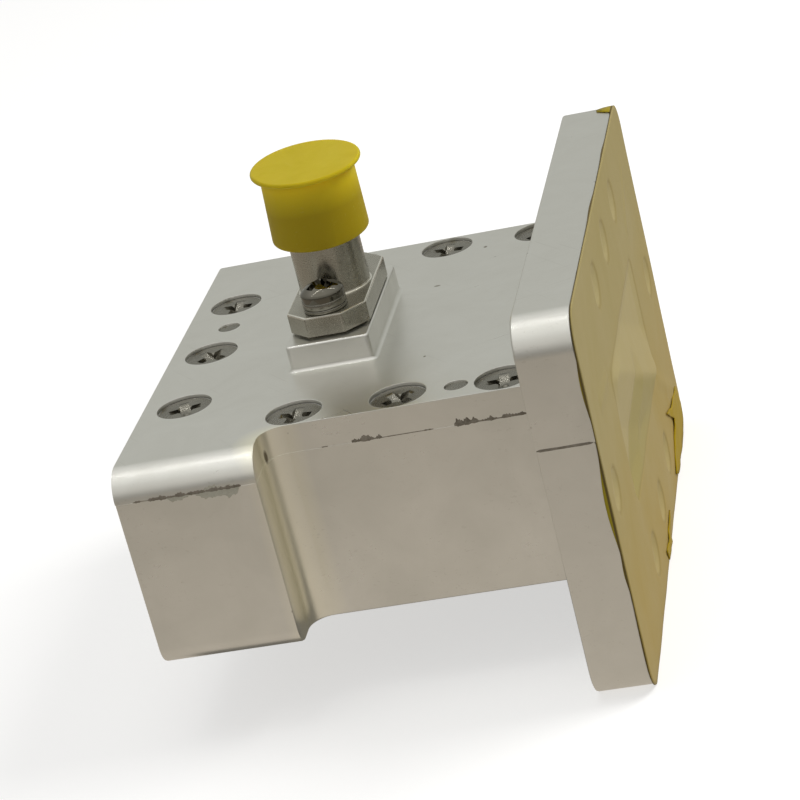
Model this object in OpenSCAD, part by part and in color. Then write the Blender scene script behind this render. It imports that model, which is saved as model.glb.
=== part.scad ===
// Right-angle adapter from a coaxial jack to a rectangular waveguide.
// A split aluminium block holds the guide: the lower half is milled open, the upper half closes it.
// The origin is the centre of the flange face. +X leaves the flange, +Z is the jack's side.

/* [Waveguide] */
// Inside width of the guide, its broad side
guide_a = 28.5; // [24:0.1:32]
// Inside height of the guide, its narrow side
guide_b = 12.62; // [10:0.02:14]
// Wall above the guide, which is the plate of the upper half
lid_wall = 2.5; // [2.2:0.05:3.5]
// Wall below the guide
floor_wall = 3; // [2:0.05:4]
// Wall beside the guide, which carries the side rows of screws
side_wall = 5.75; // [5:0.05:8]
// Wall behind the guide, which carries the rear row of screws
rear_wall = 8.25; // [7:0.05:12]
// Distance from the jack's axis back to the guide's closed end
backshort = 8.5; // [7:0.1:11]
// Corner radius that the milling cutter leaves at the closed end
cutter_r = 1.5; // [0.5:0.1:3]

/* [Block] */
// Length of the wide block at the rear
block_l = 12.35; // [9:0.05:14]
// How far the rear block stands out beyond the neck on each side
block_step = 5.2; // [4.2:0.1:8]
// Rounding of the rear block's upper long edges
top_edge_r = 2.5; // [0.5:0.1:3]
// Rounding of the rear block's lower long edges
bottom_edge_r = 1.8; // [0.5:0.1:3]
// Fillet in the corner between the neck and the rear block
neck_fillet_r = 2; // [0.5:0.1:3]

/* [Flange] */
// Flange thickness
flange_t = 4.9; // [4:0.1:8]
// Flange land beside the guide's narrow walls
flange_land_y = 13.75; // [13:0.05:20]
// Flange land above and below the guide's broad walls
flange_land_z = 10.69; // [10:0.01:16]
// Corner radius of the flange
flange_r = 3; // [1:0.1:4]
// Bolt hole diameter
bolt_d = 4.3; // [3:0.1:4.5]
// Bolt hole centre to the flange's edge
bolt_edge = 4.25; // [4:0.05:5]
// Hole pitch along the flange's long edges
bolt_pitch = 10.4; // [8:0.1:13]

/* [Lid screws and dowels] */
// Thread diameter of the countersunk screws
screw_d = 2.5; // [2:0.1:3]
// Head diameter of the countersunk screws
screw_head_d = 4.8; // [4.2:0.1:5.2]
// Overall length of the countersunk screws
screw_l = 8; // [6:0.5:9]
// Depth of the heads below the surface
screw_sunk = 0.3; // [0.1:0.05:0.5]
// Side rows: screw axis to the neck's side face
side_row_inset = 2.6; // [2.6:0.05:3]
// Side rows: first screw axis to the flange's rear face
side_row_start = 3.2; // [3:0.1:5]
// Side rows: pitch of the screws
side_row_pitch = 9.05; // [6:0.05:9.5]
// Rear row: screw axis to the rear face
rear_row_inset = 3.9; // [3:0.1:4.5]
// Rear row: pitch of the screws
rear_row_pitch = 11.9; // [7:0.1:14]
// Dowel pin diameter
dowel_d = 2; // [1.5:0.1:2.5]
// Dowel pin length
dowel_l = 8; // [5:0.5:9]
// Depth of the dowel pins below the surface
dowel_sunk = 0.15; // [0:0.05:0.4]
// How far the dowel pins sit from the middle between two screws, towards the flange
dowel_shift = 0.5; // [0:0.05:0.8]

/* [Jack seat] */
// Distance from the flange face to the jack's axis
jack_x = 24.25; // [22:0.05:28]
// Width of the raised seat along the guide
seat_w = 7.5; // [7.3:0.1:9]
// Length of the raised seat across the guide
seat_l = 16.8; // [15.5:0.1:20]
// Height of the raised seat
seat_h = 2.4; // [1.5:0.1:4]
// Corner radius of the raised seat
seat_r = 0.4; // [0.2:0.1:0.8]
// Fillet at the foot of the raised seat
seat_fillet_r = 0.4; // [0.2:0.1:0.8]

/* [Jack] */
// Width of the jack's flange along the guide
jack_flange_w = 7.2; // [6.8:0.1:7.2]
// Length of the jack's flange across the guide
jack_flange_l = 14.9; // [14.5:0.1:15.3]
// Thickness of the jack's flange
jack_flange_t = 2; // [1.5:0.1:3]
// Chamfer of the jack's flange corners
jack_chamfer = 1.95; // [1:0.05:2.2]
// Height and depth of the relief around the flange's underside
jack_relief = 0.2; // [0.1:0.05:0.4]
// Axis of each jack screw to the end of the jack's flange
jack_screw_edge = 2.1; // [2:0.05:2.2]
// Barrel diameter
barrel_d = 6.35; // [6:0.05:6.4]
// Height of the barrel above the jack's flange
barrel_h = 9.6; // [8:0.1:12]
// Chamfer at the barrel's mouth
barrel_chamfer = 0.35; // [0.1:0.05:0.6]
// Diameter of the insulator
insulator_d = 4.1; // [3.5:0.1:4.6]
// Diameter of the centre contact
contact_d = 1.27; // [1:0.01:1.5]
// Bore of the contact's socket
socket_d = 0.94; // [0.6:0.02:0.96]
// Depth of the contact's socket
socket_depth = 2.6; // [1.5:0.1:4]
// Width of the slots that split the socket
slot_w = 0.2; // [0.1:0.05:0.3]
// Length of the probe below the guide's upper wall
probe_l = 6.7; // [4:0.1:8.5]

/* [Jack screws] */
// Thread diameter of the jack's screws
jack_screw_d = 2; // [1.6:0.1:2.2]
// Thread length of the jack's screws below the head
jack_screw_l = 6; // [5:0.5:6.5]
// Head diameter of the jack's screws
jack_head_d = 3.9; // [3.4:0.1:4]
// Head height of the jack's screws
jack_head_h = 1.5; // [1:0.1:2]
// Rounding of the jack screws' heads at their rim
jack_head_edge_r = 0.45; // [0.2:0.05:0.6]
// Thickness of the flat washers
washer_t = 0.35; // [0.2:0.05:0.5]
// Thickness of the spring washers
spring_t = 0.65; // [0.4:0.05:0.8]
// Gap where a spring washer is split
spring_split = 0.35; // [0.2:0.05:0.6]
// How far a spring washer's gap is turned from the screw's recess, in degrees
spring_turn = 150; // [0:5:360]

/* [Cap and film] */
// Outer diameter of the dust cap's body
cap_d = 8.75; // [8.4:0.05:9.4]
// How much narrower the cap is at its closed end
cap_taper = 0.4; // [0:0.05:0.6]
// Diameter of the dust cap's rim disc
cap_rim_d = 9.9; // [9.6:0.1:12]
// Thickness of the dust cap's rim disc
cap_rim_t = 0.45; // [0.3:0.05:1]
// Depth of the dust cap's bore
cap_bore_h = 4.85; // [4:0.05:6]
// Thickness of the dust cap's closed end
cap_end_t = 1.95; // [0.8:0.05:2.2]
// Radial slack of the dust cap on the barrel
cap_slack = 0.25; // [0.22:0.01:0.4]
// How far the loose cap leans along the guide, in degrees
cap_lean_x = 2.3; // [0:0.1:2.5]
// How far the loose cap leans across the guide, in degrees
cap_lean_y = 3.9; // [0:0.1:4]
// Thickness of the protective film
film_t = 0.1; // [0.05:0.01:0.2]
// How far the film stays back from the flange's edge
film_inset = 0.25; // [0:0.05:1]

/* [Fits] */
// Radial clearance of a thread in its hole
thread_gap = 0.05; // [0.02:0.01:0.1]
// Radial clearance of a screw that passes through
pass_gap = 0.12; // [0.1:0.01:0.2]
// Clearance under a countersunk head
head_gap = 0.05; // [0.02:0.01:0.1]
// Radial clearance of a dowel pin
dowel_gap = 0.01; // [0.005:0.005:0.03]
// Radial clearance of the insulator and the contact
push_gap = 0.03; // [0.01:0.01:0.06]
// Depth left free below a screw or pin
tip_gap = 0.6; // [0.3:0.1:1]

/* [Hidden] */
$fn = 64;

// A cut reaches this far past the face that it leaves
past = 1;

// Levels along Z
seam_z = guide_b / 2;
top_z = seam_z + lid_wall;
bottom_z = -seam_z - floor_wall;
seat_z = top_z + seat_h;
jack_z = seat_z + jack_flange_t;
barrel_z = jack_z + barrel_h;
head_z = jack_z + washer_t + spring_t;

// Places along X, where the flange face is zero
body_l = jack_x + backshort + rear_wall;
guide_end_x = -(jack_x + backshort);
block_front_x = block_l - body_l;

// Widths across Y and heights
neck_w = guide_a + 2 * side_wall;
block_w = neck_w + 2 * block_step;
body_h = top_z - bottom_z;
flange_w = guide_a + 2 * flange_land_y;
flange_h = guide_b + 2 * flange_land_z;

// Bolt holes as (y, z): three along each long edge and one at the middle of each short edge
bolt_z = flange_h / 2 - bolt_edge;
bolt_y = flange_w / 2 - bolt_edge;
bolt_places = concat(
  [for (y = [-bolt_pitch, 0, bolt_pitch], z = [-bolt_z, bolt_z]) [y, z]],
  [for (y = [-bolt_y, bolt_y]) [y, 0]]
);

// Countersunk screws as (x, y, turn of the cross recess): a row along each side and one at the rear
side_row_y = neck_w / 2 - side_row_inset;
rear_row_x = rear_row_inset - body_l;
side_row_x = [for (i = [0 : 2]) -flange_t - side_row_start - i * side_row_pitch];
screw_places = concat(
  [for (i = [0 : 2], s = [-1, 1]) [side_row_x[i], s * side_row_y, 25 + 37 * i + 20 * s]],
  [for (i = [-1 : 1]) [rear_row_x, i * rear_row_pitch, 50 + 33 * i]]
);

// Countersunk head: a short rim, then a cone at 45 degrees down to the thread
screw_r = screw_d / 2;
head_r = screw_head_d / 2;
cone_h = head_r - screw_r;
sink_r = head_r + head_gap;
hole_r = screw_r + pass_gap;

// Dowel pins as (x, y), each a little past the middle between two screws
dowel_r = dowel_d / 2;
dowel_places = [
  [rear_row_x + dowel_shift, rear_row_pitch / 2],
  [(side_row_x[0] + side_row_x[1]) / 2 + dowel_shift, -side_row_y]
];

// Jack fits
contact_r = contact_d / 2;
insulator_r = insulator_d / 2;
jack_screw_r = jack_screw_d / 2;
jack_screw_y = jack_flange_l / 2 - jack_screw_edge;
washer_bore_r = jack_screw_r + pass_gap;

// The leaning cap bears on the barrel's rim: its end lifts by what the lean drops over the rim
cap_lean = norm([cap_lean_x, cap_lean_y]);
cap_lift = (barrel_d / 2 - barrel_chamfer) * tan(cap_lean) + push_gap;

// Outlines

module rounded_rect(w, h, r) {
  square([w - 2 * r, h], center = true);
  square([w, h - 2 * r], center = true);
  for (x = [-1, 1], y = [-1, 1])
    translate([x * (w / 2 - r), y * (h / 2 - r)]) circle(r);
}

// Section of the rear block in Y and Z, with its own edge radius above and below the guide's axis
module block_section() {
  intersection() {
    translate([0, top_z - body_h / 2]) rounded_rect(block_w, body_h, top_edge_r);
    translate([-block_w / 2, 0]) square([block_w, top_z]);
  }
  intersection() {
    translate([0, top_z - body_h / 2]) rounded_rect(block_w, body_h, bottom_edge_r);
    translate([-block_w / 2, bottom_z]) square([block_w, -bottom_z]);
  }
}

// Inner corner of radius r between the axes, filled outside the circle
module corner_fillet(r) {
  difference() {
    square(r);
    translate([r, r]) circle(r);
  }
}

module jack_outline(inset) {
  w = jack_flange_w / 2 - inset;
  l = jack_flange_l / 2 - inset;
  c = jack_chamfer;
  polygon([
    [w, c - l], [w, l - c], [w - c, l], [c - w, l],
    [-w, l - c], [-w, c - l], [c - w, -l], [w - c, -l]
  ]);
}

// Extrudes a (y, z) outline along +X from x0
module along_x(x0, length) {
  translate([x0, 0, 0]) rotate([90, 0, 90]) linear_extrude(length) children();
}

// The split block before it is parted and drilled

module neck() {
  start = block_front_x - block_l / 2;
  translate([start, -neck_w / 2, bottom_z]) cube([-flange_t / 2 - start, neck_w, body_h]);
  for (s = [-1, 1])
    translate([block_front_x, s * neck_w / 2, bottom_z])
      mirror([0, s < 0 ? 1 : 0, 0]) linear_extrude(body_h) corner_fillet(neck_fillet_r);
}

module whole_block() {
  along_x(-body_l, block_l) block_section();
  neck();
  along_x(-flange_t, flange_t) rounded_rect(flange_w, flange_h, flange_r);
}

module bolt_holes() {
  for (p = bolt_places)
    translate([0, p[0], p[1]]) rotate([0, 90, 0])
      cylinder(d = bolt_d, h = 2 * flange_t + 2 * past, center = true);
}

// Everything on one side of the parting plane
module above_seam() {
  translate([-body_l - past, -flange_w, seam_z]) cube([body_l + 2 * past, 2 * flange_w, flange_h]);
}

module below_seam() {
  translate([-body_l - past, -flange_w, seam_z - 2 * flange_h])
    cube([body_l + 2 * past, 2 * flange_w, 2 * flange_h]);
}

// The guide's plan: open at the flange face, with cutter corners at the closed end
module guide_plan() {
  translate([guide_end_x + cutter_r, -guide_a / 2]) square([past - guide_end_x - cutter_r, guide_a]);
  translate([guide_end_x, cutter_r - guide_a / 2]) square([cutter_r, guide_a - 2 * cutter_r]);
  for (s = [-1, 1])
    translate([guide_end_x + cutter_r, s * (guide_a / 2 - cutter_r)]) circle(cutter_r);
}

module lower_half() {
  tapped = screw_l + screw_sunk + tip_gap;
  pinned = dowel_l + dowel_sunk + tip_gap;
  color([0.72, 0.72, 0.69]) difference() {
    intersection() {
      whole_block();
      below_seam();
    }
    translate([0, 0, -guide_b / 2]) linear_extrude(guide_b + past) guide_plan();
    bolt_holes();
    for (p = screw_places)
      translate([p[0], p[1], top_z - tapped]) cylinder(r = screw_r + thread_gap, h = tapped);
    for (p = dowel_places)
      translate([p[0], p[1], top_z - pinned]) cylinder(r = dowel_r + dowel_gap, h = pinned);
  }
}

// Raised seat of the jack, with rounded corners and a fillet that runs round its foot
module jack_seat() {
  r = seat_r + seat_fillet_r;
  x = seat_w / 2 - seat_r;
  y = seat_l / 2 - seat_r;
  translate([-jack_x, 0, top_z]) {
    translate([0, 0, -lid_wall / 2])
      linear_extrude(seat_h + lid_wall / 2) rounded_rect(seat_w, seat_l, seat_r);
    for (s = [0, 180]) rotate([0, 0, s]) {
      translate([seat_w / 2, y, 0]) rotate([90, 0, 0])
        linear_extrude(2 * y) corner_fillet(seat_fillet_r);
      translate([-x, seat_l / 2, 0]) rotate([90, 0, 90])
        linear_extrude(2 * x) corner_fillet(seat_fillet_r);
      for (m = [0, 1])
        mirror([m, 0, 0]) translate([x, y, 0]) rotate_extrude(angle = 90)
          translate([seat_r, 0]) corner_fillet(seat_fillet_r);
    }
  }
}

// Countersunk hole: a straight rim as deep as the head sits, then the head's cone
module lid_screw_hole() {
  depth = screw_sunk + head_gap;
  translate([0, 0, -depth]) cylinder(r = sink_r, h = depth + past);
  translate([0, 0, hole_r - sink_r - depth])
    cylinder(r1 = hole_r, r2 = sink_r, h = sink_r - hole_r);
  translate([0, 0, -lid_wall - past]) cylinder(r = hole_r, h = lid_wall + past);
}

module upper_half() {
  jack_tap = jack_screw_l - (head_z - seat_z) + tip_gap;
  color([0.74, 0.74, 0.71]) difference() {
    union() {
      intersection() {
        whole_block();
        above_seam();
      }
      jack_seat();
    }
    bolt_holes();
    for (p = screw_places) translate([p[0], p[1], top_z]) lid_screw_hole();
    for (p = dowel_places)
      translate([p[0], p[1], seam_z - past])
        cylinder(r = dowel_r + dowel_gap, h = lid_wall + 2 * past);
    translate([-jack_x, 0, seam_z - past])
      cylinder(r = insulator_r + push_gap, h = seat_z - seam_z + 2 * past);
    for (s = [-1, 1])
      translate([-jack_x, s * jack_screw_y, seat_z - jack_tap])
        cylinder(r = jack_screw_r + thread_gap, h = jack_tap + past);
  }
}

// Fasteners

// Cross recess, cut downwards from the origin: four wings that run in towards a pointed pit
module cross_recess(span, width, depth) {
  run_in = 0.6 * span / depth;
  intersection() {
    for (a = [0, 90])
      rotate([0, 0, a]) translate([-span / 2, -width / 2, -depth]) cube([span, width, depth + past]);
    translate([0, 0, -depth])
      cylinder(d1 = span - run_in * depth, d2 = span + run_in * past, h = depth + past);
  }
  translate([0, 0, -1.6 * depth]) cylinder(r1 = 0, r2 = 0.9 * width, h = 1.6 * depth);
}

module countersunk_screw() {
  difference() {
    union() {
      translate([0, 0, -cone_h]) cylinder(r1 = screw_r, r2 = head_r, h = cone_h);
      translate([0, 0, -screw_l]) cylinder(r = screw_r, h = screw_l - cone_h);
    }
    cross_recess(0.64 * screw_head_d, 0.36 * screw_d, 0.5 * cone_h);
  }
}

module lid_screws() {
  color([0.42, 0.41, 0.38]) for (p = screw_places)
    translate([p[0], p[1], top_z - screw_sunk]) rotate([0, 0, p[2]]) countersunk_screw();
}

module dowel_pins() {
  color([0.5, 0.49, 0.46]) for (p = dowel_places)
    translate([p[0], p[1], top_z - dowel_sunk - dowel_l]) cylinder(r = dowel_r, h = dowel_l);
}

// Places one child at each of the jack's two screws
module at_jack_screws(z) {
  for (s = [-1, 1]) translate([-jack_x, s * jack_screw_y, z]) rotate([0, 0, 40 * s]) children();
}

// Points along an arc in degrees, without its first one
function arc_points(centre, r, from, to, steps) = [
  for (i = [1 : steps]) let (a = from + (to - from) * i / steps) centre + r * [cos(a), sin(a)]
];

// Pan head: a straight rim, a rounding and a dome that run into each other without an edge
module pan_head() {
  e = jack_head_edge_r;
  rim = 0.3 * jack_head_h;
  w = jack_head_d / 2 - e;
  h = jack_head_h - rim;
  dome_r = (w * w + h * h - e * e) / (2 * (h - e));
  dome_centre = [0, jack_head_h - dome_r];
  meet = atan2(dome_r - h, w);
  rotate_extrude() polygon(concat(
    [[0, 0], [w + e, 0], [w + e, rim]],
    arc_points([w, rim], e, 0, meet, 6),
    arc_points(dome_centre, dome_r, meet, 90, 8)
  ));
}

module jack_screws() {
  color([0.55, 0.54, 0.5]) at_jack_screws(head_z) difference() {
    union() {
      pan_head();
      translate([0, 0, -jack_screw_l]) cylinder(r = jack_screw_r, h = jack_screw_l + jack_head_h / 2);
    }
    translate([0, 0, jack_head_h])
      cross_recess(jack_head_d, 0.4 * jack_screw_d, 0.5 * jack_head_h);
  }
}

module flat_washers() {
  color([0.6, 0.59, 0.56]) at_jack_screws(jack_z) difference() {
    cylinder(d = jack_head_d, h = washer_t);
    translate([0, 0, -past]) cylinder(r = washer_bore_r, h = washer_t + 2 * past);
  }
}

module spring_washers() {
  color([0.5, 0.5, 0.47]) at_jack_screws(jack_z + washer_t) difference() {
    cylinder(d = jack_head_d, h = spring_t);
    translate([0, 0, -past]) cylinder(r = washer_bore_r, h = spring_t + 2 * past);
    rotate([0, 0, spring_turn]) translate([0, -spring_split / 2, -past])
      cube([jack_head_d, spring_split, spring_t + 2 * past]);
  }
}

// Jack

module jack_body() {
  r = barrel_d / 2;
  color([0.58, 0.57, 0.54]) translate([-jack_x, 0, 0]) difference() {
    union() {
      translate([0, 0, seat_z]) linear_extrude(jack_flange_t) jack_outline(jack_relief);
      translate([0, 0, seat_z + jack_relief])
        linear_extrude(jack_flange_t - jack_relief) jack_outline(0);
      translate([0, 0, seat_z + jack_relief])
        cylinder(r = r, h = barrel_z - barrel_chamfer - seat_z - jack_relief);
      translate([0, 0, barrel_z - barrel_chamfer])
        cylinder(r1 = r, r2 = r - barrel_chamfer, h = barrel_chamfer);
    }
    translate([0, 0, seat_z - past])
      cylinder(r = insulator_r + push_gap, h = barrel_z - seat_z + 2 * past);
    for (s = [-1, 1])
      translate([0, s * jack_screw_y, seat_z - past])
        cylinder(r = washer_bore_r, h = jack_flange_t + 2 * past);
  }
}

module jack_insulator() {
  color([0.94, 0.93, 0.9]) translate([-jack_x, 0, seam_z]) difference() {
    cylinder(r = insulator_r, h = barrel_z - seam_z);
    translate([0, 0, -past]) cylinder(r = contact_r + push_gap, h = barrel_z - seam_z + 2 * past);
  }
}

// The contact is a split socket at the jack's mouth and the probe at its other end
module centre_contact() {
  length = barrel_z - seam_z + probe_l;
  color([0.8, 0.68, 0.36]) translate([-jack_x, 0, barrel_z]) difference() {
    translate([0, 0, -length]) cylinder(r = contact_r, h = length);
    translate([0, 0, -socket_depth]) cylinder(d = socket_d, h = socket_depth + past);
    for (a = [0, 90])
      rotate([0, 0, a]) translate([-contact_d, -slot_w / 2, -socket_depth])
        cube([2 * contact_d, slot_w, socket_depth + past]);
  }
}

// Cap and film

// The cap leans on the barrel about the middle of its bore
module dust_cap() {
  cap_h = cap_bore_h + cap_end_t;
  pivot_z = barrel_z + cap_lift - cap_bore_h / 2;
  color([0.86, 0.76, 0.1]) translate([-jack_x, 0, pivot_z]) rotate([cap_lean_y, cap_lean_x, 0])
    translate([0, 0, -cap_bore_h / 2]) difference() {
      union() {
        cylinder(d1 = cap_d, d2 = cap_d - cap_taper, h = cap_h);
        translate([0, 0, cap_h - cap_rim_t]) cylinder(d = cap_rim_d, h = cap_rim_t);
      }
      translate([0, 0, -past]) cylinder(r = barrel_d / 2 + cap_slack, h = cap_bore_h + past);
    }
}

module protective_film() {
  w = flange_w - 2 * film_inset;
  h = flange_h - 2 * film_inset;
  color([0.8, 0.72, 0.4, 0.7]) along_x(0, film_t) rounded_rect(w, h, flange_r - film_inset);
}

lower_half();
upper_half();
lid_screws();
dowel_pins();
jack_body();
jack_insulator();
centre_contact();
jack_screws();
flat_washers();
spring_washers();
dust_cap();
protective_film();
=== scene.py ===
"""Dresses the CAD frame of the waveguide adapter.

Adds broken metal edges, a soft cap, a creased film, filler along the seam and the finishes of all pieces.
"""

import math

import bmesh
import bpy
from mathutils import Matrix, Vector, noise


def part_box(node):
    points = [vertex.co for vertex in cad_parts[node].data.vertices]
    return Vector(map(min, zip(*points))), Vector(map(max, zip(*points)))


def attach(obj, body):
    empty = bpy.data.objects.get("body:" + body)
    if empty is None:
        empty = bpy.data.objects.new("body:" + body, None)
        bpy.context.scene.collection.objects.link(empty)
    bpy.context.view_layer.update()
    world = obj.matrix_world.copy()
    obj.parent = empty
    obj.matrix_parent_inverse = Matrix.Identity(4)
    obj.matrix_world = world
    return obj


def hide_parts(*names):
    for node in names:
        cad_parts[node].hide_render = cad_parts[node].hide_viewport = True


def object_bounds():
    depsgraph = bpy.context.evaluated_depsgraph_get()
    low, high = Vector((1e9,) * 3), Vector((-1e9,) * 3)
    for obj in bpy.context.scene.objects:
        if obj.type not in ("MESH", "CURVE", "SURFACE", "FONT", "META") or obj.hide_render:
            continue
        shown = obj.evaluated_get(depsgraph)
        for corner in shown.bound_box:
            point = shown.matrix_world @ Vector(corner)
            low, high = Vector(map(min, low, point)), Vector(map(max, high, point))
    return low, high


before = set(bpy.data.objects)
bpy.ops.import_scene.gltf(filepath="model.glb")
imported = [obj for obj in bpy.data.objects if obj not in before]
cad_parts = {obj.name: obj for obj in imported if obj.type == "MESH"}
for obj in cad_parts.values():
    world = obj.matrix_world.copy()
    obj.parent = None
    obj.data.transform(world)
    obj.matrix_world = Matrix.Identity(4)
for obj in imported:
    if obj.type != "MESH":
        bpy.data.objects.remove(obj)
CAD_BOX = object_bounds()

# Lengths below are in millimetres and become metres where a mesh or a lamp takes them.
MM = 0.001

# Camera: where it stands, where it looks and its roll, from the fitted view of the photograph.
CAMERA_AT = Vector((32.016, -223.996, 92.064))
CAMERA_BACK = Vector((0.21493, -0.90505, 0.36699))
CAMERA_UP = Vector((0.16090, 0.40345, 0.90074))
CAMERA_SENSOR = 36.0
CAMERA_LENS = 123.23
CAMERA_CLIP = (5.0, 10000.0)

# Stage and light
FLOOR_HALF = 1500.0
FLOOR_DROP = 0.05
FLOOR_COLOUR = (0.62, 0.615, 0.60, 1.0)
FLOOR_PALER = 1.01
FLOOR_GLOW = 0.56
SKY_COLOUR = (1.0, 1.0, 1.0, 1.0)
SKY_SEEN = 1.0
SKY_FILL = 0.38
# Soft lamps: name, place, size and watts
TOP_LAMP = ("top_lamp", (-60.0, -40.0, 560.0), 300.0, 0.45)
SIDE_LAMP = ("side_lamp", (400.0, 120.0, 440.0), 300.0, 2.1)
# Cards that only reflections see: the table, the walls, the ceiling and a tube lamp
CARD_GLOW = 1.0
CARD_SIDES = 64
TABLE_CARD_R = 500.0
TABLE_NEAR_TONE = (0.56, 0.505, 0.43, 1.0)
TABLE_FAR_TONE = (0.42, 0.375, 0.315, 1.0)
TABLE_FAR_FROM = 110.0
TABLE_END_TONE = (0.18, 0.165, 0.14, 1.0)
TABLE_END_FROM = 260.0
TABLE_SHADE_TONE = (0.16, 0.15, 0.13, 1.0)
TABLE_SHADE_HALF_X, TABLE_SHADE_HALF_Y = 20.0, 24.6
TABLE_SHADE_SOFT = 1.0
TABLE_NEAR_TO = 24.0
ROOM_CARD_R = 700.0
ROOM_CARD_HIGH = 800.0
ROOM_LOW_TONE = (0.20, 0.195, 0.18, 1.0)
ROOM_FRONT_TONE = (0.72, 0.70, 0.66, 1.0)
ROOM_BACK_TONE = (0.505, 0.51, 0.472, 1.0)
ROOM_HIGH_TONE = (0.82, 0.82, 0.79, 1.0)
ROOM_LOW_TO, ROOM_FRONT_FROM, ROOM_HIGH_FROM = 20.0, 260.0, 330.0
CEILING_LIGHT_AT = (-120.0, -220.0, ROOM_CARD_HIGH)
CEILING_LIGHT_TONE = (1.12, 1.11, 1.07, 1.0)
CEILING_FADE = 800.0
TUBE_LAMP_AT = (-40.0, 90.0, 690.0)
TUBE_LAMP_LONG, TUBE_LAMP_WIDE = 1100.0, 6.0
TUBE_LAMP_GLOW = 16.0

# Broken edges: how many flats make each rounding, how wide it is and what counts as sharp, flat or one point
EDGE_STEPS, CHAMFER_STEPS, CAP_EDGE_STEPS = 2, 1, 4
BLOCK_EDGE = 0.2
LID_EDGE = 0.07
HOLE_EDGE = 0.06
HOLE_ZONE = 0.25
SEAM_EDGE = 0.03
LID_TOP_Z = 8.81
JACK_EDGE = 0.16
JACK_FOOT_EDGE = 0.24
SCREW_EDGE = 0.08
WASHER_EDGE = 0.12
CAP_EDGE = 0.32
WELD_DISTANCE = 0.002
SHARP_ANGLE = 32.0
FLAT_ANGLE = 0.4

# Finish of the aluminium: two tones of its clouds, roughness in each, its scratches and its specks
ALUMINIUM_DARK = (0.70, 0.695, 0.655, 1.0)
ALUMINIUM_LIGHT = (0.76, 0.755, 0.72, 1.0)
ALUMINIUM_ROUGH = (0.36, 0.29)
ALUMINIUM_SCRATCH = (0.45, 0.43, 0.39, 1.0)
ALUMINIUM_SPECK = (0.25, 0.23, 0.20, 1.0)
# How much its scratches and specks show in its colour, and how much smoother a scratch is
ALUMINIUM_SCRATCH_SHARE, ALUMINIUM_SPECK_SHARE = 0.35, 0.4
SCRATCH_SHINE = 0.08
# Marks on it: a nick in the fillet beside the block and three specks on the lid, as place and half lengths
METAL_MARKS = [((-28.47, -21.2, 6.75), (0.28, 0.3, 0.75)), ((-16.82, 7.2, 8.81), (0.38, 0.2, 0.2)),
               ((-13.2, 15.55, 8.81), (0.22, 0.28, 0.2)), ((-15.8, -9.79, 8.81), (0.15, 0.2, 0.2))]
MARK_TONE = (0.24, 0.215, 0.165, 1.0)
# Painted sheen in the near fillet between the block and its neck, lighter as its reflections make it, as the
# middle of the fillet and its reach
FILLET_SHEEN_AT = (-27.4, -22.6)
FILLET_SHEEN_REACH = 3.4
PAINTED_FILLET_SHEEN = (0.93, 0.905, 0.77, 1.0)

# Scratches of the steel, and how much they show
STEEL_SCRATCH = (0.55, 0.53, 0.5, 1.0)
STEEL_SCRATCH_SHARE = 0.4
# Turns of a wave texture for each unit of its scale, in radians
WAVE_RATE = 20.0
# Upper edges of the jack, which carry a painted highlight and are smoother: how far they face up, the
# painted highlight's tone and their share of the roughness beside them
HIGHLIT_EDGE_RISE = 0.2
PAINTED_EDGE_HIGHLIGHT = (0.80, 0.78, 0.71, 1.0)
HIGHLIT_EDGE_ROUGH = 0.6

# Cap: two tones of its clouds, a painted glow below its rim, painted shade lower down where its wall is thin,
# and its scratches
CAP_DARK = (0.52, 0.405, 0.012, 1.0)
CAP_LIGHT = (0.57, 0.45, 0.015, 1.0)
CAP_PAINTED_RIM_GLOW = (0.80, 0.61, 0.02, 1.0)
CAP_PAINTED_LOW_SHADE = (0.44, 0.325, 0.011, 1.0)
CAP_SCRATCH = (0.6, 0.52, 0.12, 1.0)
CAP_SCRATCH_SHARE = 0.25
CAP_ROUGH = (0.52, 0.42)
CAP_GLOW_DEPTH = 1.5
CAP_GLOW_SHARES = (1.0, 0.8, 0.2)
# Heights of its rim and of the end of its thin wall, and how far the painted glow and shade change above and
# below them
CAP_RIM_Z, CAP_RIM_UP, CAP_RIM_DOWN = 24.1, 0.4, 0.2
CAP_SOLID_Z, CAP_LOW_SHADE_UP, CAP_LOW_SHADE_DOWN = 22.8, 0.8, 1.6

# Insulator and filler: tones and roughness
INSULATOR_DARK = (0.80, 0.79, 0.75, 1.0)
INSULATOR_LIGHT = (0.86, 0.85, 0.82, 1.0)
INSULATOR_ROUGH = (0.3, 0.42)
FILLER_ROUGH = (0.6, 0.85)

# Film on the flange face
FILM_STAND = 0.07
FILM_THICKNESS = 0.05
FILM_STEP = 0.32
FILM_CORNER = 3.0
FILM_MARGIN = 0.12
GUIDE_HALF_Y = 14.25
GUIDE_HALF_Z = 6.31
GUIDE_CORNER = 1.5
GUIDE_SAG = 0.3
GUIDE_SAG_RUN = 1.2
BOLT_PLACES = [(0, 12.75), (10.4, 12.75), (-10.4, 12.75), (0, -12.75), (10.4, -12.75), (-10.4, -12.75),
               (23.75, 0), (-23.75, 0)]
BOLT_R = 2.15
BOLT_SAG = 0.34
BOLT_SAG_RUN = 0.9
FILM_LIP = 0.04
FILM_WAVE, FILM_WAVE_PITCH, FILM_WAVE_SEED = 0.03, 5.0, 0.7
LOOSE_RUN = 0.4
# How far the film turns over the flange's near and top edges: middle, half width and height of each rise
NEAR_LIP_RISES = [(0.6, 5.6, 0.38), (-5.4, 2.2, 0.16), (11.0, 3.4, 0.2), (-12.0, 4.0, 0.06)]
TOP_LIP_RISES = [(24.8, 1.4, 1.5), (-3.0, 5.0, 0.12), (12.0, 4.0, 0.1)]
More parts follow.
